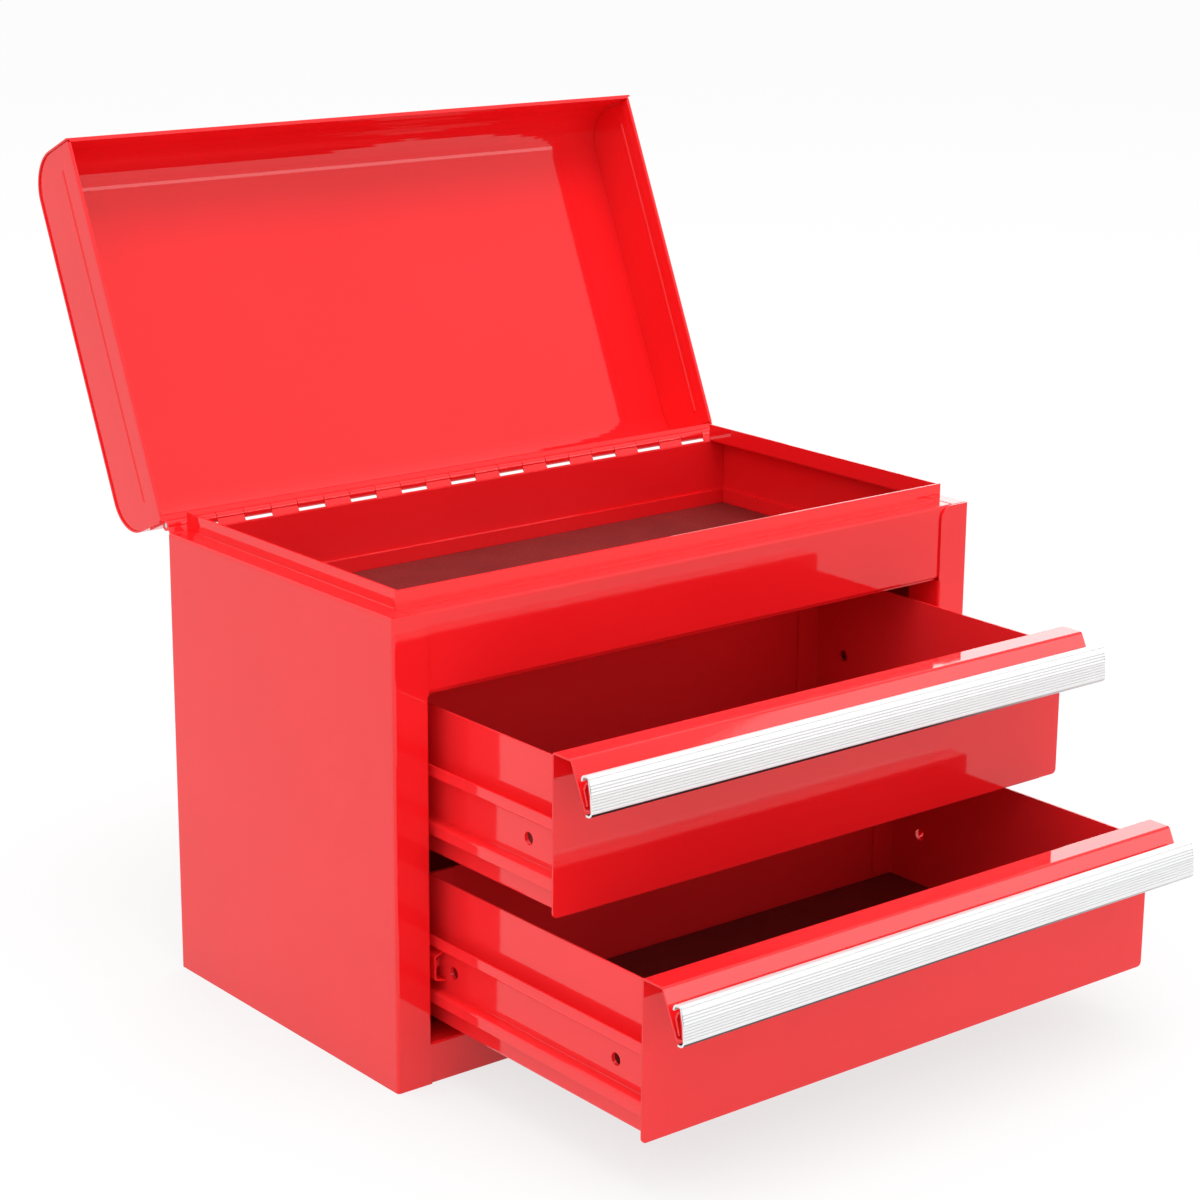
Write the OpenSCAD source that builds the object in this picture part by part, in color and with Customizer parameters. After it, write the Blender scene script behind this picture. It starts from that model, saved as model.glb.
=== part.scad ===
// Portable tool box with an open tray, a hinged lid and two drawers on telescopic slides.
// X runs to the right, Y to the back and Z up. The origin is on the floor, at the middle of the cabinet.
// The model is drawn as it stands in use: lid open, both drawers pulled out.

/* [Sheet metal] */
// Thickness of the painted sheet
sheet = 0.8; // [0.6:0.1:1]
// Inside radius of the folds
bend_r = 0.4; // [0.3:0.1:0.6]
// Gap between two sheets that are welded side by side
seam = 0.1; // [0.05:0.05:0.2]

/* [Cabinet] */
// Width over the two side panels
cabinet_w = 300; // [260:1:360]
// Depth over the posts and the rear flanges
cabinet_d = 160; // [154:1:190]
// Height of the bottom rail
sill_h = 16.5; // [14:0.5:24]
// Height of the front panel of the tray
header_h = 31.6; // [24:0.2:48]
// Width of the front posts
post_w = 16; // [13:0.5:20]
// Depth of the posts' inner returns
post_return = 18; // [16:0.5:22]
// Width of the flanges at the back
rear_flange = 12; // [8:0.5:18]
// Radius of the posts' inner top corners
post_corner_r = 6; // [3:0.5:8]
// Height of the flanges round the bottom panel
pan_flange = 12; // [8:0.5:13]

/* [Tray rim] */
// Width of the ledge along the top
ledge_w = 8.6; // [6:0.2:12]
// Height of the lip above the ledge
lip_h = 7.4; // [5:0.2:10]
// How far the front lip stands behind the front of the posts
front_lip_set = 9.5; // [8:0.1:12]
// Height of the flanges round the tray floor
tray_flange = 8.3; // [5:0.1:12]
// Depth of the header's bottom return
header_return = 8.1; // [6:0.1:10]
// Thickness of the lining sheets
liner_t = 1; // [0.5:0.1:1]

/* [Hinge and lid] */
// Height of the hinge axis above the ledge
hinge_up = 2; // [1.8:0.1:3]
// Distance of the hinge axis behind the cabinet
hinge_back = 4; // [3.8:0.1:6]
// Outside diameter of the knuckles
knuckle_od = 4.5; // [4.4:0.1:4.8]
// Diameter of the hinge pin
pin_d = 2.4; // [2:0.1:2.6]
// Radial clearance of the pin
pin_clearance = 0.06; // [0.03:0.01:0.1]
// Number of knuckles on the lid
lid_knuckles = 11; // [7:2:15]
// Length of a knuckle on the lid
lid_knuckle_l = 13; // [8:0.5:14]
// Gap between neighbouring knuckles
knuckle_gap = 0.3; // [0.2:0.05:0.5]
// Height of the hinge leaves
leaf_h = 13.4; // [10:0.2:18]
// Height of the lid above the hinge axis
lid_top = 34.9; // [26:0.1:50]
// Height of the lid's lower edge above the hinge axis
lid_edge = 0.9; // [0.5:0.1:1.5]
// How far the lid stands in front of the posts
lid_overhang = 1.5; // [0.5:0.1:4]
// Radius of the lid's front fold
lid_front_r = 17; // [8:0.5:20]
// Radius of the lid's back fold
lid_back_r = 16; // [8:0.5:20]
// How far the lid's ends are set in from the edge of the shell
lid_end_set = 0.6; // [0.3:0.1:2]
// Height of the hem along the lid's lower edge
lid_hem = 6; // [3:0.5:9]
// Height of the pressed bead above the hinge axis
bead_z = 11; // [9:0.5:16]
// Radius of the groove of the pressed bead
bead_r = 0.9; // [0.6:0.1:1]
// Distance of the bead's ends from the lid's front and back
bead_inset = 11.4; // [8:0.2:30]
// Angle of the open lid
lid_open = 113.86; // [90:0.1:120]

/* [Drawers] */
// Height of a drawer front
drawer_h = 63.4; // [58:0.2:80]
// Gap under the lower drawer front
gap_bottom = 5.7; // [5.5:0.1:8]
// Gap between the two drawer fronts
gap_between = 5.6; // [4:0.1:8]
// Gap over the upper drawer front
gap_top = 3.8; // [3:0.1:6]
// Gap on each side of a drawer front
gap_side = 1.9; // [1.5:0.1:3]
// How far a closed drawer front stands behind the posts
setback = 17.5; // [16:0.5:20]
// Clearance behind a closed drawer
drawer_back_gap = 1.2; // [0.8:0.1:3]
// Full travel of the drawers
full_out = 142.2; // [120:0.1:144]
// How far out the upper drawer is drawn
upper_out = 90.7; // [0:0.1:120]
// How far out the lower drawer is drawn
lower_out = 142.2; // [0:0.1:142.2]
// Distance from the edge of a drawer front to the side of its box
box_inset = 6.9; // [6.5:0.1:9]
// Height of the box sides above the lower edge of the front
box_top = 58.3; // [54:0.1:58.3]
// Depth of the box below the lower edge of the front
box_drop = 1; // [1:0.1:2]
// Width of the tabs that hold the box together
box_tab = 12; // [8:0.5:16]
// Diameter of the holes in the box sides
hole_d = 5; // [3:0.5:6]
// Height of the holes above the lower edge of the front
hole_z = 23; // [22:0.5:26]
// Distance of the front holes behind the drawer front
hole_front = 22.4; // [14:0.2:40]
// Distance of the rear holes behind the drawer front
hole_rear = 121; // [90:0.5:122]

/* [Pulls] */
// Depth of the hood over the pull
hood_d = 10.2; // [8:0.2:14]
// How far the lip of the pull leans forward below the hood
lip_lean = 8.1; // [6:0.1:9]
// Drop of the lip below the hood
lip_drop = 16.5; // [16:0.1:17]
// How far the aluminium trim stands past each end of the lip
trim_over = 0.9; // [0.2:0.1:1.4]
// Wall of the aluminium trim
trim_t = 0.8; // [0.6:0.05:0.9]
// Number of fine ribs on the trim
trim_ribs = 9; // [5:1:9]
// Spacing of the fine ribs
rib_pitch = 0.95; // [0.8:0.05:1]
// Depth of the grooves between the ribs
rib_depth = 0.28; // [0.15:0.01:0.35]

/* [Drawer slides] */
// Height of the lower flange of the drawer channel above the lower edge of the front
channel_low = 14.4; // [14:0.1:16]
// Height of the upper flange of the drawer channel above the lower edge of the front
channel_high = 32.2; // [31:0.1:34]
// Width of the flanges of the drawer channel
channel_flange = 4.6; // [4:0.1:5]
// Height of the lips on the drawer channel
channel_lip = 5; // [3:0.1:6]
// Running clearance between the slide members
slide_clearance = 0.3; // [0.25:0.05:0.4]
// Depth of the inner half of the sliding rail
rail_inner = 5.3; // [5:0.1:5.6]
// Depth of the outer half of the sliding rail
rail_outer = 4.5; // [4:0.1:6]
// Share of a drawer's travel that its sliding rails make
rail_ratio = 0.5; // [0.45:0.05:0.6]
// Distance of a drawn out sliding rail behind the face of the posts
rail_front_gap = 1; // [0.5:0.1:2]
// Clearance behind a closed sliding rail
rail_back_gap = 2.3; // [1:0.1:4]
// Length of the brackets that carry the fixed rails
bracket_l = 21; // [18:1:28]
// Width of the feet of the brackets
bracket_foot = 5; // [4:0.5:7]

/* [Hidden] */

paint = "firebrick";
lining = [0.2, 0.07, 0.08];
bare_aluminium = "gainsboro";
zinc = "darkgray";

// heights of the cabinet
header_z = sill_h + gap_bottom + 2*drawer_h + gap_between + gap_top;
ledge_z = header_z + header_h;
lower_z = sill_h + gap_bottom;
upper_z = lower_z + drawer_h + gap_between;
wall_top = ledge_z - sheet - bend_r;
back_top = ledge_z - 0.6;

// half widths and faces of the cabinet
side_x = cabinet_w/2;
inner_x = side_x - sheet;
welded_x = inner_x - seam;
post_x = side_x - post_w;
front_y = -cabinet_d/2;
back_y = cabinet_d/2;
header_y = front_y + sheet + seam;
back_panel_y = back_y - 2*sheet - seam;
ledge_x = side_x - ledge_w;
lip_y = front_y + front_lip_set;
tray_z = header_z - seam - sheet;

// hinge and lid
hinge_y = back_y + hinge_back;
hinge_z = ledge_z + hinge_up;
knuckle_r = knuckle_od/2;
leaf_x = side_x - 1.4;
knuckle_pitch = 2*(leaf_x + knuckle_gap)/(lid_knuckles + 0.28);
cabinet_knuckle_l = knuckle_pitch - lid_knuckle_l - 2*knuckle_gap;
leaf_set = 0.8;
lid_back = leaf_set + sheet;
lid_front = hinge_y - front_y + lid_overhang;
lid_end_x = side_x - lid_end_set;

// drawers and slides
panel_x = post_x - gap_side;
box_x = panel_x - box_inset;
drawer_d = cabinet_d - setback - 2*sheet - seam - drawer_back_gap;
lining_z = seam - box_drop + sheet;
channel_x = box_x + sheet;
rail_x = channel_x + 0.4;
rail_web_x = rail_x + rail_inner;
rail_high = channel_high - slide_clearance;
rail_low = channel_low + 4;
rail_drop = 2.3;
rail_rise = 1.4;
rail_mid = (rail_high - rail_drop + rail_low + rail_rise)/2;
rail_half = 4.5;
fixed_x = rail_web_x + rail_outer + sheet + slide_clearance + sheet;
fixed_half = rail_half + slide_clearance + sheet;
fixed_front = front_y + post_return + 1;
fixed_back = back_panel_y - 0.9;
rail_open_y = front_y + rail_front_gap;
rail_len = cabinet_d - 2*sheet - seam - rail_back_gap - rail_front_gap - rail_ratio*full_out;
stop_set = 4;
stop_w = 3;
stop_z = rail_mid;

// ---- folded sheet ----

function unit(v) = v/norm(v);
function left_of(v) = [-v[1], v[0]];
function turn(u, v) = atan2(u[0]*v[1] - u[1]*v[0], u*v);
function spun(v, a) = [v[0]*cos(a) - v[1]*sin(a), v[0]*sin(a) + v[1]*cos(a)];
function reversed(p) = [for (i = [len(p) - 1 : -1 : 0]) p[i]];
function pick(r, i) = is_list(r) ? r[i] : r;
function bend_steps(radius) = radius > 5 ? 18 : 4;

// One face of a folded strip: the path itself, or the face that lies to its left
function fold_face(path, t, r, shift) = [
    for (i = [0 : len(path) - 1])
        if (i == 0) path[0] + left_of(unit(path[1] - path[0]))*shift
        else if (i == len(path) - 1) path[i] + left_of(unit(path[i] - path[i - 1]))*shift
        else let (
            into = unit(path[i] - path[i - 1]),
            out = unit(path[i + 1] - path[i]),
            a = turn(into, out),
            side = sign(a),
            radius = side > 0 ? pick(r, i) + t : pick(r, i),
            centre = path[i] - into*radius*tan(abs(a)/2) + left_of(into)*radius*side,
            reach = radius - side*shift,
            steps = bend_steps(radius)
        )
        each [for (k = [0 : steps]) centre - spun(left_of(into)*side*reach, a*k/steps)]
];

// Section of a sheet of thickness t, folded along a path with the sheet on the path's left.
// r is the inside radius of the folds, or a list with one for each point.
module folded(path, t = sheet, r = bend_r)
    polygon(concat(fold_face(path, t, r, 0), reversed(fold_face(path, t, r, t))));

// A section drawn in Y and Z, extruded along X from -half to half
module along_x(half) translate([-half, 0, 0]) rotate([90, 0, 90]) linear_extrude(2*half) children();

// A section drawn in X and Z, extruded along Y
module along_y(from, to) translate([0, to, 0]) rotate([90, 0, 0]) linear_extrude(to - from) children();

// The outline that is left when one corner of a square of size r is rounded off
module corner_waste(r) difference() {
    square(r + 1);
    circle(r, $fn = 48);
}

// ---- cabinet ----

// Plan of a side: rear flange, wall and post, with the inner return where the opening is
module side_plan(with_return) {
    folded([
        [-side_x + rear_flange, back_y], [-side_x, back_y], [-side_x, front_y],
        each with_return ? [[-post_x, front_y]] : [],
        each with_return ? [[-post_x, front_y + 2*sheet]] : [[-post_x, front_y]]
    ]);
    if (with_return)
        translate([-post_x - sheet, front_y + sheet + bend_r])
            square([sheet, post_return - sheet - bend_r]);
}

// The wall's top: a ledge that runs inward and a lip that stands up from it
module side_ledge_section() folded([
    [-ledge_x, ledge_z + lip_h], [-ledge_x, ledge_z], [-side_x, ledge_z], [-side_x, wall_top - 1]
]);

module side_panel() {
    return_from = sill_h + seam;
    return_to = tray_z - seam;
    difference() {
        union() {
            linear_extrude(return_from) side_plan(false);
            translate([0, 0, return_from]) linear_extrude(return_to - return_from) side_plan(true);
            translate([0, 0, return_to]) linear_extrude(wall_top - return_to) side_plan(false);
            translate([0, 0, wall_top]) linear_extrude(ledge_z - wall_top)
                folded([[-side_x, front_y + 2*sheet], [-side_x, front_y], [-post_x, front_y]]);
            translate([0, 0, wall_top]) linear_extrude(back_top - wall_top)
                folded([[-side_x + rear_flange, back_y], [-side_x, back_y], [-side_x, back_y - 2*sheet]]);
            difference() {
                along_y(front_y + 2*sheet - 0.2, back_y - 1) side_ledge_section();
                translate([-ledge_x - seam, front_y, wall_top - 2])
                    cube([ledge_w, front_lip_set + sheet + seam, header_h]);
            }
        }
        along_y(front_y - 1, front_y + sheet + seam)
            translate([-post_x - post_corner_r, ledge_z - post_corner_r]) corner_waste(post_corner_r);
    }
}
module side_panel_left() color(paint) side_panel();
module side_panel_right() color(paint) mirror([1, 0, 0]) side_panel();

module back_panel() color(paint)
    translate([-welded_x, back_panel_y, 0]) cube([2*welded_x, sheet, back_top]);

// The bottom is a shallow pan whose flanges stand up inside the walls
module bottom_panel() color(paint) {
    front = header_y + sheet + seam;
    back = back_panel_y - seam;
    along_y(front, back) folded([
        [-welded_x, pan_flange], [-welded_x, 0], [welded_x, 0], [welded_x, pan_flange]
    ]);
    along_x(welded_x - sheet - bend_r) folded([[front, pan_flange], [front, 0], [back, 0], [back, pan_flange]]);
}

// The rail under the opening: its face, its top and a flange that hangs from the top's back edge
module bottom_rail() color(paint) {
    shelf_back = front_y + post_return + 0.5;
    along_x(welded_x) folded([
        [shelf_back, sill_h - 8], [shelf_back, sill_h], [header_y, sill_h], [header_y, 0]
    ]);
}

// The tray's front: bottom return, face, ledge and lip in one folded strip
module header_panel() color(paint) difference() {
    along_x(welded_x) folded([
        [lip_y, ledge_z + lip_h], [lip_y, ledge_z], [header_y, ledge_z], [header_y, header_z],
        [header_y + header_return, header_z]
    ]);
    for (side = [0, 1]) mirror([side, 0, 0]) {
        translate([ledge_x - seam, header_y - 1, ledge_z - sheet - seam])
            cube([ledge_w, front_lip_set + 2, sheet + 2*seam]);
        translate([ledge_x + sheet, header_y - 1, ledge_z - sheet - seam])
            cube([ledge_w, front_lip_set + 2, lip_h + 2]);
    }
}

module tray_floor() color(paint) {
    front = header_y + 2*sheet;
    back = back_panel_y - seam;
    along_y(front, back) folded([
        [-welded_x, tray_z + tray_flange], [-welded_x, tray_z], [welded_x, tray_z],
        [welded_x, tray_z + tray_flange]
    ]);
    along_x(welded_x - sheet - bend_r) folded([[front + 2, tray_z], [back, tray_z], [back, tray_z + tray_flange]]);
}

module tray_liner() color(lining) {
    front = header_y + header_return + seam;
    back = back_panel_y - seam - sheet - bend_r;
    half = welded_x - sheet - bend_r;
    translate([-half, front, header_z]) cube([2*half, back - front, liner_t]);
}

// ---- hinge ----

// One span of a hinge leaf's knuckle, bored for the pin, with the tab that joins it to its leaf
module knuckle(from, to) difference() {
    translate([from, 0, 0]) rotate([90, 0, 90]) linear_extrude(to - from) {
        circle(knuckle_r, $fn = 48);
        children();
    }
    translate([from - 1, 0, 0]) rotate([0, 90, 0])
        cylinder(h = to - from + 2, r = pin_d/2 + pin_clearance, $fn = 48);
}

// Centres of the lid's knuckles; those of the cabinet lie between them
lid_knuckle_xs = [for (i = [0 : lid_knuckles - 1]) (i - (lid_knuckles - 1)/2)*knuckle_pitch];

module hinge_leaf_lower() color(paint) translate([0, hinge_y, hinge_z]) {
    leaf_top = back_top - hinge_z;
    tab_y = -knuckle_r;
    translate([-leaf_x, -hinge_back, leaf_top - leaf_h]) cube([2*leaf_x, sheet, leaf_h]);
    starts = [-leaf_x, for (x = lid_knuckle_xs) x + lid_knuckle_l/2 + knuckle_gap];
    ends = [for (x = lid_knuckle_xs) x - lid_knuckle_l/2 - knuckle_gap, leaf_x];
    for (i = [0 : lid_knuckles])
        knuckle(starts[i], ends[i])
            folded([[tab_y, 0.4], [tab_y, -0.3], [-hinge_back, leaf_top - 0.2], [-hinge_back, leaf_top - 1.5]],
                r = 0.1);
}

module hinge_pin() color(zinc) translate([-leaf_x + 0.2, hinge_y, hinge_z]) rotate([0, 90, 0])
    cylinder(h = 2*leaf_x - 0.4, d = pin_d, $fn = 48);

// ---- lid: drawn closed, with the hinge axis at the origin, then swung open ----

module swung_open() translate([0, hinge_y, hinge_z]) rotate([-lid_open, 0, 0]) children();

module lid_shell() color(paint) swung_open() {
    along_x(side_x) folded(
        [[-lid_back, lid_edge + 1.3], [-lid_back, lid_top], [-lid_front, lid_top], [-lid_front, lid_edge]],
        r = [0, lid_back_r - sheet, lid_front_r - sheet, 0]);
    along_x(lid_end_x - sheet - seam) {
        translate([-lid_back - 3, lid_edge + 1.3]) square([3, sheet]);
        translate([-lid_front + sheet - 0.01, lid_edge]) square([sheet + 0.01, lid_hem]);
    }
}

// Outline of the lid's ends, inside the shell
module lid_end_outline() {
    inset = sheet + seam;
    back = -lid_back - inset;
    front = -lid_front + inset;
    top = lid_top - inset;
    r_back = lid_back_r - inset;
    r_front = lid_front_r - inset;
    polygon([
        [back, lid_edge + sheet], [back, top - r_back],
        for (a = [0 : 5 : 90]) [back - r_back + r_back*cos(a), top - r_back + r_back*sin(a)],
        for (a = [90 : 5 : 180]) [front + r_front + r_front*cos(a), top - r_front + r_front*sin(a)],
        [front, lid_edge + sheet]
    ]);
}

// A rod with ball ends, along Y
module bead(r) {
    from = -lid_front + bead_inset;
    to = -lid_back - bead_inset;
    translate([0, to, bead_z]) rotate([90, 0, 0]) cylinder(h = to - from, r = r, $fn = 32);
    for (y = [from, to]) translate([0, y, bead_z]) sphere(r, $fn = 32);
}

// The end: a flat plate with a pressed bead and a rounded hem along its lower edge
module lid_end() {
    from = -lid_front + sheet + seam;
    to = -lid_back - sheet - seam;
    bead_x = -lid_end_x - bead_r/2;
    difference() {
        union() {
            translate([-lid_end_x, 0, 0]) rotate([90, 0, 90]) linear_extrude(sheet) lid_end_outline();
            intersection() {
                translate([bead_x, 0, 0]) bead(bead_r + sheet);
                translate([-lid_end_x, -lid_front, 0]) cube([lid_end_x, lid_front, lid_top]);
            }
            along_y(from + sheet + seam, to - 3) {
                translate([-lid_end_x + sheet, lid_edge + sheet]) circle(sheet, $fn = 32);
                translate([-lid_end_x, lid_edge + sheet]) square([2*sheet, lid_hem - 2*sheet]);
            }
        }
        translate([bead_x, 0, 0]) bead(bead_r);
    }
}
module lid_end_left() color(paint) swung_open() lid_end();
module lid_end_right() color(paint) swung_open() mirror([1, 0, 0]) lid_end();

module hinge_leaf_upper() color(paint) swung_open() {
    leaf_low = knuckle_r + 0.35;
    translate([-leaf_x, -leaf_set - sheet, leaf_low]) cube([2*leaf_x, sheet, leaf_h - 3]);
    for (x = lid_knuckle_xs)
        knuckle(x - lid_knuckle_l/2, x + lid_knuckle_l/2)
            translate([-leaf_set - sheet, 0.9]) square([sheet, leaf_low + 1]);
}

// ---- slides: drawn for the left side, with Z from the lower edge of the drawer front ----

module fixed_rail() along_y(fixed_front, fixed_back) folded([
    [-rail_web_x - sheet - slide_clearance, rail_mid + fixed_half], [-fixed_x, rail_mid + fixed_half],
    [-fixed_x, rail_mid - fixed_half], [-rail_web_x - sheet - slide_clearance, rail_mid - fixed_half]
]);

// Hat section that reaches from the side wall to the fixed rail
module rail_bracket(y) {
    near = -fixed_x - sheet;
    translate([0, y, rail_mid - rail_half]) linear_extrude(2*rail_half) folded([
        [-inner_x, bracket_l], [-inner_x, bracket_l - bracket_foot], [near, bracket_l - bracket_foot],
        [near, bracket_foot], [-inner_x, bracket_foot], [-inner_x, 0]
    ]);
}

module rail_brackets() for (z = [lower_z, upper_z], y = [fixed_front + 8, fixed_back - 8 - bracket_l])
    translate([0, 0, z]) rail_bracket(y);

// The sliding rail: a deep half that the drawer's channel rides on, a half that rides in the fixed
// rail, and the tab that stops the drawer. Its front end is at y = 0.
module slide_rail_section_inner() folded([
    [-rail_x, rail_high], [-rail_web_x, rail_high - rail_drop], [-rail_web_x, rail_low + rail_rise],
    [-rail_x, rail_low]
]);
module slide_rail_section_outer() folded([
    [-rail_web_x - sheet - rail_outer + 0.3, rail_mid - rail_half], [-rail_web_x + 0.1, rail_mid - rail_half],
    [-rail_web_x + 0.1, rail_mid + rail_half], [-rail_web_x - sheet - rail_outer + 0.3, rail_mid + rail_half]
]);
module slide_rail() {
    behind_post = post_return + 1.5 - rail_front_gap;
    along_y(0, rail_len) slide_rail_section_inner();
    along_y(behind_post, rail_len) slide_rail_section_outer();
    translate([-rail_web_x + sheet/2, stop_set, stop_z - stop_w/2])
        cube([rail_inner - sheet/2 - 0.8, sheet, stop_w]);
}

// Places a sliding rail for a drawer that is drawn out by a given length
module at_rail(out, z) translate([0, rail_open_y + rail_ratio*(full_out - out), z]) children();

// The drawer's channel: a hat section with its mouth to the wall and the lug that meets the stop tab
module drawer_channel() {
    outer = -channel_x - channel_flange;
    lug_y = rail_front_gap - setback + full_out + stop_set + sheet + 0.2;
    difference() {
        union() {
            along_y(2*sheet + 0.2, drawer_d - 2*sheet) folded([
                [outer, channel_high + channel_lip], [outer, channel_high], [-channel_x, channel_high],
                [-channel_x, channel_low], [outer, channel_low], [outer, channel_low - channel_lip]
            ]);
            translate([-channel_x - rail_inner + 1.8, lug_y, stop_z - stop_w/2])
                cube([rail_inner - 1.8 + sheet/2, sheet, stop_w]);
        }
        side_holes();
    }
}

// ---- drawers: y from the front face, z from the lower edge of the front ----

module side_holes() for (y = [hole_front, hole_rear])
    translate([-channel_x - 1, y, hole_z]) rotate([0, 90, 0]) cylinder(h = 2*sheet + 2, d = hole_d, $fn = 32);

// Hood, sloping lip and the loop that the lip is rolled into
pull_foot = [-hood_d - lip_lean, drawer_h - lip_drop];
pull_path = [
    [-hood_d, drawer_h], pull_foot, pull_foot + [-2.6, 0.7], pull_foot + [-1.05, 10.9],
    pull_foot + [0.4, 7.4], pull_foot + [-1.4, 1.7]
];

module drawer_front() {
    flange_x = box_x - sheet - seam;
    intersection() {
        union() {
            along_x(panel_x) folded(concat([[sheet, 0], [sheet, drawer_h]], pull_path));
            along_x(flange_x) folded([[8, sheet], [sheet, sheet], [sheet, drawer_h/2]]);
        }
        along_y(-2*drawer_h, drawer_h) difference() {
            translate([-panel_x, 0]) square([2*panel_x, drawer_h]);
            for (side = [0, 1]) mirror([side, 0]) translate([panel_x - 2, 2]) mirror([0, 1]) corner_waste(2);
        }
    }
}

// Sides and floor in one folded sheet, with tabs at the front and the back
module drawer_box() {
    front = sheet + seam;
    back = drawer_d - sheet - seam;
    low = -box_drop;
    difference() {
        union() {
            along_y(front + sheet, back - sheet) folded([
                [-box_x, 4], [-box_x, low], [box_x, low], [box_x, 4]
            ]);
            for (side = [0, 1]) mirror([side, 0, 0])
                translate([0, 0, 1.2]) linear_extrude(box_top - 1.2) folded([
                    [-box_x + box_tab, back], [-box_x, back], [-box_x, front], [-box_x + box_tab, front]
                ]);
        }
        for (side = [0, 1]) mirror([side, 0, 0]) side_holes();
    }
}

module drawer_back()
    translate([-box_x, drawer_d - sheet, -box_drop]) cube([2*box_x, sheet, box_top + box_drop]);

module drawer_liner() {
    half = box_x - sheet - seam;
    from = 8 + 3*seam;
    translate([-half, from, lining_z]) cube([2*half, drawer_d - 2*sheet - 2*seam - from, 0.7*liner_t]);
}

// Outer face of the trim: a hook over the rolled lip, a ribbed front and a foot under the lip
trim_path = [for (p = [[1.3, 10.3], [1.5, 11.7], [0.1, 13], [-2.5, 12.8], [-4, 7.3], [-4.9, 0.9], [-2.9, -2.1],
    [-0.8, -1.8]]) pull_foot + p];

// Point of the trim's face that lies a given depth below the top of its front
function trim_face(depth) = let (
    top = trim_path[3],
    mid = trim_path[4],
    low = trim_path[5],
    knee = top[1] - mid[1]
) depth < knee ? top + (mid - top)*depth/knee : mid + (low - mid)*(depth - knee)/(mid[1] - low[1]);

module pull_trim() along_x(panel_x + trim_over) difference() {
    folded(trim_path, t = trim_t, r = 0.3);
    for (depth = [0.8, for (i = [0 : trim_ribs - 1]) 3.3 + i*rib_pitch])
        translate(trim_face(depth)) circle(rib_depth, $fn = 4);
}

// ---- placed parts ----

module at_upper() translate([0, front_y + setback - upper_out, upper_z]) children();
module at_lower() translate([0, front_y + setback - lower_out, lower_z]) children();
module on_right() mirror([1, 0, 0]) children();

module fixed_rail_upper_left() color(zinc) translate([0, 0, upper_z]) fixed_rail();
module fixed_rail_upper_right() color(zinc) on_right() translate([0, 0, upper_z]) fixed_rail();
module fixed_rail_lower_left() color(zinc) translate([0, 0, lower_z]) fixed_rail();
module fixed_rail_lower_right() color(zinc) on_right() translate([0, 0, lower_z]) fixed_rail();
module rail_brackets_left() color(zinc) rail_brackets();
module rail_brackets_right() color(zinc) on_right() rail_brackets();
module slide_rail_upper_left() color(paint) at_rail(upper_out, upper_z) slide_rail();
module slide_rail_upper_right() color(paint) on_right() at_rail(upper_out, upper_z) slide_rail();
module slide_rail_lower_left() color(paint) at_rail(lower_out, lower_z) slide_rail();
module slide_rail_lower_right() color(paint) on_right() at_rail(lower_out, lower_z) slide_rail();

module upper_drawer_front() color(paint) at_upper() drawer_front();
module upper_drawer_box() color(paint) at_upper() drawer_box();
module upper_drawer_back() color(paint) at_upper() drawer_back();
module upper_drawer_liner() color(lining) at_upper() drawer_liner();
module upper_channel_left() color(paint) at_upper() drawer_channel();
module upper_channel_right() color(paint) on_right() at_upper() drawer_channel();
module upper_pull_trim() color(bare_aluminium) at_upper() pull_trim();

module lower_drawer_front() color(paint) at_lower() drawer_front();
module lower_drawer_box() color(paint) at_lower() drawer_box();
module lower_drawer_back() color(paint) at_lower() drawer_back();
module lower_drawer_liner() color(lining) at_lower() drawer_liner();
module lower_channel_left() color(paint) at_lower() drawer_channel();
module lower_channel_right() color(paint) on_right() at_lower() drawer_channel();
module lower_pull_trim() color(bare_aluminium) at_lower() pull_trim();

side_panel_left();
side_panel_right();
back_panel();
bottom_panel();
bottom_rail();
header_panel();
tray_floor();
tray_liner();
hinge_leaf_lower();
hinge_pin();
fixed_rail_upper_left();
fixed_rail_upper_right();
fixed_rail_lower_left();
fixed_rail_lower_right();
rail_brackets_left();
rail_brackets_right();
lid_shell();
lid_end_left();
lid_end_right();
hinge_leaf_upper();
slide_rail_upper_left();
slide_rail_upper_right();
slide_rail_lower_left();
slide_rail_lower_right();
upper_drawer_front();
upper_drawer_box();
upper_drawer_back();
upper_drawer_liner();
upper_channel_left();
upper_channel_right();
upper_pull_trim();
lower_drawer_front();
lower_drawer_box();
lower_drawer_back();
lower_drawer_liner();
lower_channel_left();
lower_channel_right();
lower_pull_trim();
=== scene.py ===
"""Looks of the red steel tool box: glossy paint, ribbed aluminium pulls, dark mats and plated slides."""
import math

import bmesh
import bpy
from mathutils import Matrix, Vector


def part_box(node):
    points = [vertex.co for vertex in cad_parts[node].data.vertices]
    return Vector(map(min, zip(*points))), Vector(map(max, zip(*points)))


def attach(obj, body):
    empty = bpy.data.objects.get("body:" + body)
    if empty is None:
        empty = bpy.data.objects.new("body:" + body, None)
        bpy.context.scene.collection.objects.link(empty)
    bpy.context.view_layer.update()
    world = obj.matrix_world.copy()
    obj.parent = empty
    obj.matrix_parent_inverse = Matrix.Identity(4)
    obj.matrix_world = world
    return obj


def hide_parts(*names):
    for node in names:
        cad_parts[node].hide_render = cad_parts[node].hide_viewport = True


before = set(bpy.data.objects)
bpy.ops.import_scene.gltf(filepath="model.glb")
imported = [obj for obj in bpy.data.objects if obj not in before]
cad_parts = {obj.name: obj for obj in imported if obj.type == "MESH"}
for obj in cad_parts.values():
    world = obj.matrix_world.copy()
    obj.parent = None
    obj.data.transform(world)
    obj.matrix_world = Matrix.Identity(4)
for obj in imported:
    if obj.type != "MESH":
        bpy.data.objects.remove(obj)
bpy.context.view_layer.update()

MM = 0.001


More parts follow.
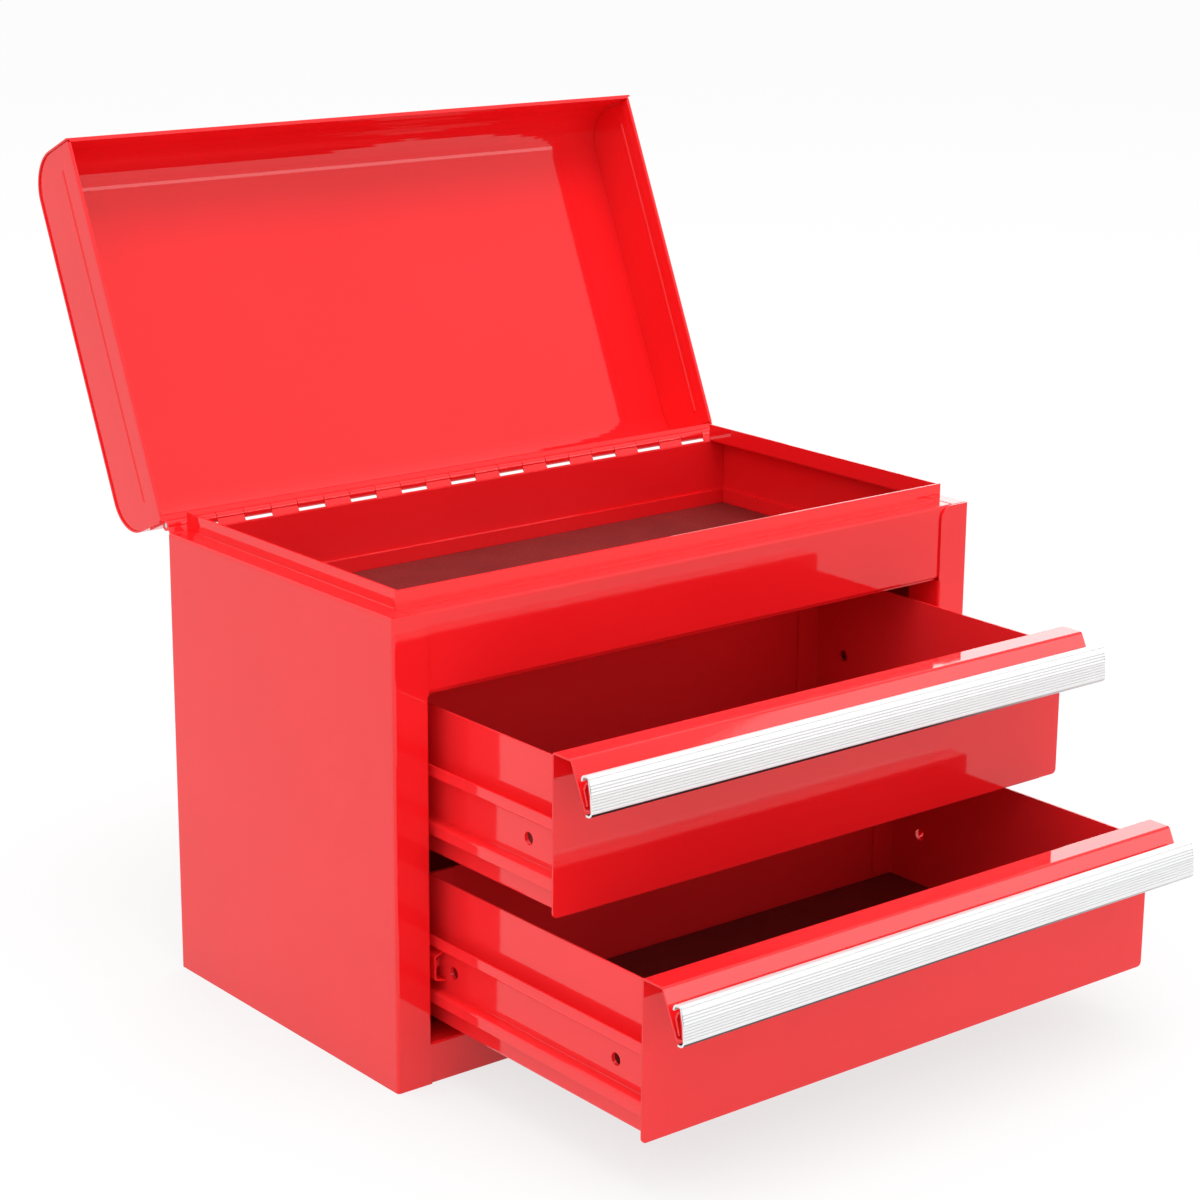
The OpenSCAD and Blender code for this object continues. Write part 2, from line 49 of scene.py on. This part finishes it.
# Camera: the photograph's view, for a square picture of 1200 x 1200.
CAMERA_AT = (-0.737387, -0.929318, 0.487978)
LENS = 87.75
FILM = 36.0
NEAREST_SEEN = 0.05
YAW, PITCH, ROLL = (math.radians(a) for a in (38.885, 15.723, 0.445))


def set_camera():
    ahead = Vector((math.sin(YAW) * math.cos(PITCH), math.cos(YAW) * math.cos(PITCH), -math.sin(PITCH)))
    level = Vector((math.cos(YAW), -math.sin(YAW), 0))
    above = level.cross(ahead)
    right = math.cos(ROLL) * level + math.sin(ROLL) * above
    up = -math.sin(ROLL) * level + math.cos(ROLL) * above
    data = bpy.data.cameras.new("camera")
    data.lens = LENS
    data.sensor_width = FILM
    data.sensor_fit = "HORIZONTAL"
    data.clip_start = NEAREST_SEEN
    camera = bpy.data.objects.new("camera", data)
    turn = Matrix((right, up, -ahead)).transposed().to_4x4()
    camera.matrix_world = Matrix.Translation(CAMERA_AT) @ turn
    bpy.context.scene.collection.objects.link(camera)
    bpy.context.scene.camera = camera


class Value:
    """A node's output socket. Sums on it add the Math nodes that they need."""

    def __init__(self, finish, socket):
        self.finish, self.socket = finish, socket

    def sum_of(self, operation, *values):
        return self.finish.node("ShaderNodeMath", {"operation": operation}, dict(enumerate(values)))

    def __add__(self, other): return self.sum_of("ADD", self, other)
    def __radd__(self, other): return self.sum_of("ADD", other, self)
    def __sub__(self, other): return self.sum_of("SUBTRACT", self, other)
    def __rsub__(self, other): return self.sum_of("SUBTRACT", other, self)
    def __mul__(self, other): return self.sum_of("MULTIPLY", self, other)
    def __rmul__(self, other): return self.sum_of("MULTIPLY", other, self)
    def __truediv__(self, other): return self.sum_of("DIVIDE", self, other)


class Finish:
    """A material and the one way that its nodes are made."""

    def __init__(self, name):
        self.material = bpy.data.materials.new(name)
        self.material.use_nodes = True
        self.tree = self.material.node_tree
        self.tree.nodes.clear()
        self.output = self.tree.nodes.new("ShaderNodeOutputMaterial")

    def node(self, kind, settings=None, sockets=None, out=0):
        made = self.tree.nodes.new(kind)
        for name, value in (settings or {}).items():
            setattr(made, name, value)
        for name, value in (sockets or {}).items():
            if isinstance(value, Value):
                self.tree.links.new(value.socket, made.inputs[name])
            else:
                made.inputs[name].default_value = value
        return Value(self, made.outputs[out])

    def noise(self, place, scale, detail=3.0, roughness=0.5):
        return self.node("ShaderNodeTexNoise", {"noise_dimensions": "3D"}, {
            "Vector": place, "Scale": scale, "Detail": detail, "Roughness": roughness})

    def cells(self, place, scale, out):
        return self.node("ShaderNodeTexVoronoi", {"feature": "F1"}, {"Vector": place, "Scale": scale}, out=out)

    def place(self, stretch=(1, 1, 1)):
        at = self.node("ShaderNodeTexCoord", out="Object")
        if stretch == (1, 1, 1):
            return at
        return self.node("ShaderNodeVectorMath", {"operation": "MULTIPLY"}, {0: at, 1: stretch})

    def part_of(self, vector, axis):
        return self.node("ShaderNodeSeparateXYZ", None, {"Vector": vector}, out=axis)

    def blend(self, share, first, second):
        # A colour Mix node has its colour sockets at places 6 and 7, and its colour result at place 2.
        return self.node("ShaderNodeMix", {"data_type": "RGBA"}, {0: share, 6: first, 7: second}, out=2)

    def ease(self, value, low, high):
        """0 below low, 1 above high, and straight between them."""
        return self.node("ShaderNodeMapRange", {"clamp": True}, {
            "Value": value, "From Min": low, "From Max": high, "To Min": 0.0, "To Max": 1.0})

    def bumps(self, height, strength, distance, edge=None):
        """A surface normal from the height. An edge is the radius with which sharp corners are shaded."""
        sockets = {"Height": height, "Strength": strength, "Distance": distance}
        if edge:
            sockets["Normal"] = self.node("ShaderNodeBevel", {"samples": 4}, {"Radius": edge})
        return self.node("ShaderNodeBump", None, sockets)

    def surface(self, sockets):
        shader = self.node("ShaderNodeBsdfPrincipled", None, sockets)
        self.tree.links.new(shader.socket, self.output.inputs["Surface"])
        return self.material


def shade(r, g, b):
    return (r, g, b, 1.0)


def enamel(name, lean, full, gloss):
    """Baked red enamel: an even gloss with a faint orange peel, a little rounded over the sheet's edges."""
    paint = Finish(name)
    at = paint.place()
    drift = paint.noise(at, scale=14.0, detail=2.0)
    peel = paint.noise(at, scale=620.0, detail=2.0, roughness=0.45)
    long_wave = paint.noise(at, scale=95.0, detail=2.0, roughness=0.4)
    return paint.surface({
        "Base Color": paint.blend(paint.ease(drift, 0.3, 0.7), lean, full),
        "Roughness": gloss + 0.03 * paint.ease(peel, 0.35, 0.75), "IOR": 1.5,
        "Normal": paint.bumps(peel + 2.2 * long_wave, strength=0.08, distance=0.05 * MM, edge=0.18 * MM)})


def glossy_red():
    return enamel("glossy_red_paint", shade(0.875, 0.0105, 0.0145), shade(0.915, 0.0125, 0.0165), 0.035)


def lightened_box_red():
    """The drawers' boxes, backs and channels get a paler copy of the red with less gloss: painted light, which
    lifts these parts where they lie in shade.
    """
    return enamel("lightened_red_paint", shade(0.93, 0.021, 0.026), shade(0.96, 0.025, 0.030), 0.06)


# Outer face of a pull's trim in the section across it, from the hook over the lip's loop to the foot under it.
# Each corner is its place forward of the hook's back and above the foot, with the radius of its bend, in mm.
TRIM_FACE = (
    (0.0, 12.7, 0.0), (0.0, 15.2, 2.2), (4.3, 15.3, 1.3), (6.0, 8.5, 5.0), (6.5, 0.0, 2.4), (2.8, 0.0, 0.0))
TRIM_WALL = 0.8 * MM
TRIM_HEIGHT = 15.3 * MM
BEND_STEPS = 8
SHARP_FROM = math.radians(30)

# One groove lies close under the top, and the others follow at a pitch. A groove is half as deep as wide.
TOP_GROOVE, GROOVES_FROM, GROOVE_STEP, GROOVE_COUNT = 1.0 * MM, 3.4 * MM, 1.1 * MM, 9
GROOVE_DEPTH = 0.26 * MM

# The grooves' painted shade lies between two heights above the foot, with a short fade at both ends.
SHADED_FROM, SHADED_TO, SHADE_FADE = 2.1 * MM, TRIM_HEIGHT - 2.8 * MM, 0.2 * MM
# The near-black band of painted shade under the curl ends between two heights above the foot. Between two places
# along X most of it fades away.
SHADE_BAND_TOP = (1.6 * MM, 1.75 * MM)
SHADE_BAND_FADE_SPAN, SHADE_BAND_FADE_SHARE = (0.03, 0.12), 0.75


def ribbed_aluminium(name, lowest):
    """Satin anodised aluminium: painted shade in the grooves along the extrusion, and a near-black band of painted
    shade under its lower curl.
    """
    metal = Finish(name)
    at = metal.place()
    lines = metal.noise(metal.place((1.5, 1400.0, 1400.0)), scale=1.0, detail=2.0, roughness=0.5)
    height = metal.part_of(at, "Z")
    across = metal.part_of(at, "X")
    sideways = metal.part_of(metal.node("ShaderNodeNewGeometry", out="Normal"), "X")
    along = 1 - metal.ease(sideways * sideways, 0.2, 0.4)
    step = (height - (lowest + TRIM_HEIGHT - GROOVES_FROM - 0.5 * GROOVE_STEP)) / GROOVE_STEP
    beside = metal.node("ShaderNodeMath", {"operation": "PINGPONG"}, {0: step, 1: 0.5})
    low, high = lowest + SHADED_FROM, lowest + SHADED_TO
    ribbed = metal.ease(height, low, low + SHADE_FADE) * (1 - metal.ease(height, high - SHADE_FADE, high))
    # Painted shade: grey is laid into each groove's V cut, where shade falls.
    groove = along * ribbed * metal.ease(beside, 0.30, 0.42)
    # Painted shade: a near-black band on the underside of the lower curl, less metallic, mostly fading out along
    # X.
    shade_band = along * (1 - metal.ease(height, lowest + SHADE_BAND_TOP[0], lowest + SHADE_BAND_TOP[1])) * (
        1 - SHADE_BAND_FADE_SHARE * metal.ease(across, *SHADE_BAND_FADE_SPAN))
    satin = metal.blend(metal.ease(lines, 0.3, 0.7), shade(0.83, 0.83, 0.835), shade(0.85, 0.85, 0.85))
    shaded = metal.blend(groove, satin, shade(0.66, 0.66, 0.67))
    return metal.surface({
        "Base Color": metal.blend(shade_band, shaded, shade(0.02, 0.02, 0.022)), "Metallic": 0.45 - 0.35 * shade_band,
        "Roughness": 0.40 + 0.05 * metal.ease(lines, 0.3, 0.75),
        "Normal": metal.bumps(lines, strength=0.05, distance=0.03 * MM)})


def mat_foam():
    """The dark red-brown mats: closed foam with a fine pebbled skin."""
    foam = Finish("dark_mat")
    at = foam.place()
    pebbles = foam.cells(at, scale=900.0, out="Distance")
    clouds = foam.noise(at, scale=60.0)
    colour = foam.blend(foam.ease(clouds, 0.3, 0.7), shade(0.155, 0.012, 0.012), shade(0.185, 0.016, 0.015))
    return foam.surface({
        "Base Color": colour, "Roughness": 0.50 + 0.12 * foam.ease(pebbles, 0.1, 0.7), "Specular IOR Level": 0.26,
        "Normal": foam.bumps(pebbles, strength=0.25, distance=0.1 * MM, edge=0.3 * MM)})


def plated_steel():
    """Bright zinc plate with a faint crystal cloudiness."""
    plate = Finish("zinc_plate")
    at = plate.place()
    crystals = plate.cells(at, scale=260.0, out="Color")
    haze = plate.noise(at, scale=120.0, detail=4.0)
    colour = plate.blend(plate.ease(haze, 0.3, 0.7), shade(0.50, 0.51, 0.53), shade(0.66, 0.67, 0.68))
    return plate.surface({
        "Base Color": colour, "Metallic": 1.0, "Roughness": 0.25 + 0.15 * plate.ease(crystals, 0.2, 0.8),
        "Normal": plate.bumps(haze, strength=0.15, distance=0.05 * MM, edge=0.2 * MM)})


def dress(finish_of_slot, lightened_coat):
    """Gives every CAD node the finish of its slot in the record, and the parts of a drawer's box the paler copy of
    the red, which is painted light.
    """
    for name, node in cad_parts.items():
        for slot in node.material_slots:
            kind = slot.material.name.split(".")[0]
            # Drawer boxes, backs and channels take the paler red: painted light for their shaded faces.
            inside = kind == "red_paint" and ("_box" in name or "_drawer_back" in name or "_channel" in name)
            slot.material = lightened_coat if inside else finish_of_slot.get(kind, slot.material)


def bent(corners, inward=0.0):
    """The points of a path with rounded corners, set in by a wall on its right-hand side."""
    points = [Vector((forward, up)) * MM for forward, up, radius in corners]
    legs = [(b - a).normalized() for a, b in zip(points, points[1:])]
    aside = [Vector((leg.y, -leg.x)) for leg in legs]
    line = [points[0] + aside[0] * inward]
    for point, before, after, radius in zip(points[1:-1], aside, aside[1:], (c[2] * MM for c in corners[1:-1])):
        turn = before.angle(after)
        middle = point + (before + after) * radius / (1 + before.dot(after))
        for step in range(BEND_STEPS + 1):
            share = step / BEND_STEPS
            out = (before * math.sin((1 - share) * turn) + after * math.sin(share * turn)) / math.sin(turn)
            line.append(middle - out * (radius - inward))
    line.append(points[-1] + aside[-1] * inward)
    return line


def grooved(line):
    """The outer face with a narrow V cut at each groove's height."""
    cuts = [TRIM_HEIGHT - TOP_GROOVE] + [TRIM_HEIGHT - GROOVES_FROM - i * GROOVE_STEP for i in range(GROOVE_COUNT)]
    made = [line[0]]
    for a, b in zip(line, line[1:]):
        if b.y < a.y and b.x >= a.x:
            down = (b - a).normalized()
            inward = Vector((down.y, -down.x))
            for cut in cuts:
                if b.y < cut <= a.y:
                    bottom = a + (b - a) * ((a.y - cut) / (a.y - b.y))
                    for offset, depth in ((-GROOVE_DEPTH, 0), (0, GROOVE_DEPTH), (GROOVE_DEPTH, 0)):
                        made.append(bottom + down * offset + inward * depth)
        made.append(b)
    return made


def pull_trim(node, body):
    """The extruded aluminium trim of a pull: hook, grooved front and curled foot, in place of the plain solid."""
    low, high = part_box(node)
    outer, inner = grooved(bent(TRIM_FACE)), bent(TRIM_FACE, TRIM_WALL)
    section = outer + inner[::-1]
    shell = bmesh.new()
    ends = [[shell.verts.new((x, high[1] - p.x, low[2] + p.y)) for p in section] for x in (low[0], high[0])]
    for i, (a, b) in enumerate(zip(ends[0], ends[1])):
        after = (i + 1) % len(section)
        shell.faces.new((a, ends[0][after], ends[1][after], b))
    for end in ends:
        shell.faces.new(end)
    bmesh.ops.recalc_face_normals(shell, faces=shell.faces)
    mesh = bpy.data.meshes.new("aluminium_" + node)
    shell.to_mesh(mesh)
    shell.free()
    mesh.shade_smooth()
    mesh.set_sharp_from_angle(angle=SHARP_FROM)
    trim = bpy.data.objects.new("aluminium_" + node, mesh)
    mesh.materials.append(ribbed_aluminium("satin_" + node, low[2]))
    bpy.context.scene.collection.objects.link(trim)
    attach(trim, body)
    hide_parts(node)


FLOOR_REACH = 20.0
SHADOW_REACH = 0.25
LAMPS_LOOK_AT = Vector((0, 0, 0.12))
# Name, place, size, energy, whether it lights the surfaces, and whether their gloss mirrors it.
LAMPS = (
    ("left_lamp", (-2.2, -1.0, 1.9), (2.2, 1.6), 12.0, True, False),
    ("top_lamp", (-0.1, -0.5, 2.6), (2.0, 1.6), 44.0, True, False),
    ("fill_lamp", (0.7, -2.3, 0.6), (1.6, 1.0), 6.0, True, False),
    ("front_lamp", (1.75, -1.75, 0.84), (1.7, 0.5), 5.6, False, True),
    ("back_lamp", (2.27, 1.1, 0.75), (1.8, 0.9), 10.5, False, True))


def lay_floor():
    """A pale floor without end. The camera and the gloss see it nearly white, with a soft shadow by the object."""
    floor = Finish("pale_floor")
    seen = floor.node("ShaderNodeLightPath", out="Is Camera Ray")
    mirrored = floor.node("ShaderNodeLightPath", out="Is Glossy Ray")
    looked_at = floor.node("ShaderNodeMath", {"operation": "MAXIMUM"}, {0: seen, 1: mirrored})
    open_sky = floor.node("ShaderNodeAmbientOcclusion", {"samples": 4}, {"Distance": SHADOW_REACH}, out="AO")
    white = floor.blend(open_sky, shade(0.74, 0.735, 0.735), shade(0.87, 0.87, 0.87))
    floor.surface({
        "Base Color": floor.blend(looked_at, shade(0.74, 0.74, 0.74), shade(0.13, 0.13, 0.13)),
        "Emission Color": floor.blend(looked_at, shade(0, 0, 0), white), "Emission Strength": 1.0,
        "Roughness": 1.0, "Specular IOR Level": 0.0})
    mesh = bpy.data.meshes.new("floor")
    far = FLOOR_REACH
    mesh.from_pydata([(-far, -far, 0), (far, -far, 0), (far, far, 0), (-far, far, 0)], [], [(0, 1, 2, 3)])
    ground = bpy.data.objects.new("floor", mesh)
    mesh.materials.append(floor.material)
    bpy.context.scene.collection.objects.link(ground)


def hang_dome():
    """An even dome all round, which the camera and the gloss see as plain white."""
    world = bpy.data.worlds.new("white_dome")
    world.use_nodes = True
    nodes, links = world.node_tree.nodes, world.node_tree.links
    path, looked_at, white = (nodes.new("ShaderNode" + kind) for kind in ("LightPath", "Math", "Mix"))
    looked_at.operation, white.data_type = "MAXIMUM", "RGBA"
    white.inputs[6].default_value, white.inputs[7].default_value = shade(0.75, 0.75, 0.75), shade(1, 1, 1)
    links.new(path.outputs["Is Camera Ray"], looked_at.inputs[0])
    links.new(path.outputs["Is Glossy Ray"], looked_at.inputs[1])
    links.new(looked_at.outputs[0], white.inputs[0])
    links.new(white.outputs[2], nodes["Background"].inputs["Color"])
    bpy.context.scene.world = world


def hang_lamps():
    """Broad soft lamps, each either for the surfaces or for their gloss."""
    for name, place, size, energy, lights, mirrored in LAMPS:
        lamp = bpy.data.lights.new(name, "AREA")
        lamp.shape, lamp.size, lamp.size_y = "RECTANGLE", *size
        lamp.energy = energy
        hung = bpy.data.objects.new(name, lamp)
        hung.location = place
        hung.rotation_euler = (LAMPS_LOOK_AT - hung.location).to_track_quat("-Z", "Y").to_euler()
        hung.visible_diffuse, hung.visible_glossy = lights, mirrored
        hung.visible_camera = False
        bpy.context.scene.collection.objects.link(hung)


set_camera()
dress({
    "red_paint": glossy_red(),
    "plated_steel": plated_steel(),
    "drawer_lining": mat_foam(),
}, lightened_box_red())
pull_trim("upper_pull_trim", "upper_drawer")
pull_trim("lower_pull_trim", "lower_drawer")
lay_floor()
hang_dome()
hang_lamps()
bpy.context.scene.view_settings.view_transform = "Standard"
